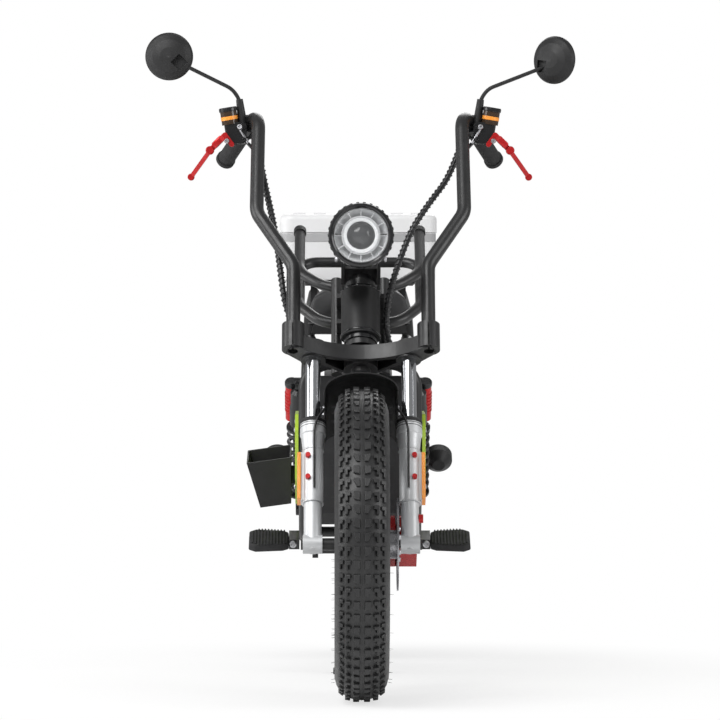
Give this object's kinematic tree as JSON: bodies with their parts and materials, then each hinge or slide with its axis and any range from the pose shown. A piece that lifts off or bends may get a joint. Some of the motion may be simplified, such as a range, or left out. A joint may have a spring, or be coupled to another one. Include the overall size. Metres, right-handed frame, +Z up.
{
  "type": "electric golf scooter",
  "caption": "Two-wheeled electric golf scooter with knobbly tyres, tall handlebars, a golf bag carrier, a padded seat and a white cooler box behind it.",
  "frame": {"origin": "on the ground, midway between the axles, in the centre plane", "axes": "-Y is the way it drives, +X its left side, +Z up"},
  "size_m": [0.879, 1.8994, 1.332],
  "materials": {
    "tyre": "matte",
    "cast_wheel": "satin",
    "bright_steel": "brushed",
    "chrome": "polished",
    "silver": "satin",
    "black_metal": "satin",
    "black_plastic": "matte",
    "gloss_black": "gloss",
    "red_metal": "satin",
    "lime": "gloss",
    "amber": "gloss",
    "smoked": "gloss",
    "red_lens": "gloss",
    "clear_lens": "clear",
    "mirror": "polished",
    "rubber": "matte",
    "seat_cover": "matte",
    "white_plastic": "matte"
  },
  "bodies": {
    "front_wheel": {"front_tyre": "tyre", "front_wheel": "cast_wheel", "front_disc": "bright_steel"},
    "rear_wheel": {"rear_tyre": "tyre", "rear_wheel": "cast_wheel", "rear_disc": "bright_steel"},
    "steering": {"fork_sliders": "silver", "fork_stanchions": "chrome", "front_axle": "bright_steel", "crown": "black_metal", "steering_stem": "bright_steel", "handlebar": "black_metal", "grips": "rubber", "headlight_shell": "gloss_black", "headlight_optic": "chrome", "headlight_lens": "clear_lens", "headlight_bracket": "black_metal", "front_fender": "black_plastic", "fender_stays": "black_metal", "front_calliper": "red_metal", "side_reflectors": "amber", "fork_bolts": "red_metal", "brake_cylinders": "black_metal", "fluid_cups": "smoked", "brake_levers": "red_metal", "mirror_backs": "black_plastic", "mirror_glass": "mirror", "cable_right": "rubber", "cable_left": "rubber"},
    "chassis": {"head_tube": "black_metal", "head_cover": "black_plastic", "frame": "black_metal", "battery_case": "black_plastic", "side_panel_right": "lime", "side_panel_left": "lime", "bag_carrier": "black_metal", "bag_base": "black_plastic", "seat_cushion": "seat_cover", "seat_base": "black_plastic", "rear_rack": "black_metal", "cooler_body": "white_plastic", "swingarm": "black_metal", "rear_axle": "bright_steel", "rear_shocks": "bright_steel", "shock_reservoirs": "red_metal", "foot_pegs": "silver", "peg_brackets": "black_metal", "stand_mount": "black_metal", "cup_box": "black_plastic", "rear_indicators": "black_plastic", "rear_calliper": "red_metal", "rear_fender": "black_plastic", "tail_light": "red_lens"},
    "stand": {"centre_stand": "black_metal"},
    "cooler_lid": {"cooler_lid": "white_plastic"}
  },
  "joints": [
    {"name": "steering", "type": "hinge", "parent": "chassis", "child": "steering", "pos_m": [0, -0.60968, 0.28622], "axis": [0, 0.4695, 0.8829], "range_deg": [-35, 35], "deforming": ["cable_right", "cable_left"]},
    {"name": "front_wheel_turn", "type": "hinge", "parent": "steering", "child": "front_wheel", "pos_m": [0, -0.645, 0.305], "axis": [1, 0, 0], "continuous": true},
    {"name": "rear_wheel_turn", "type": "hinge", "parent": "chassis", "child": "rear_wheel", "pos_m": [0, 0.645, 0.305], "axis": [1, 0, 0], "continuous": true},
    {"name": "stand_fold", "type": "hinge", "parent": "chassis", "child": "stand", "pos_m": [0, 0.06, 0.262], "axis": [1, 0, 0], "range_deg": [0, 75]},
    {"name": "lid_open", "type": "hinge", "parent": "chassis", "child": "cooler_lid", "pos_m": [0, 0.697, 0.95], "axis": [1, 0, 0], "range_deg": [-100, 0]}
  ]
}
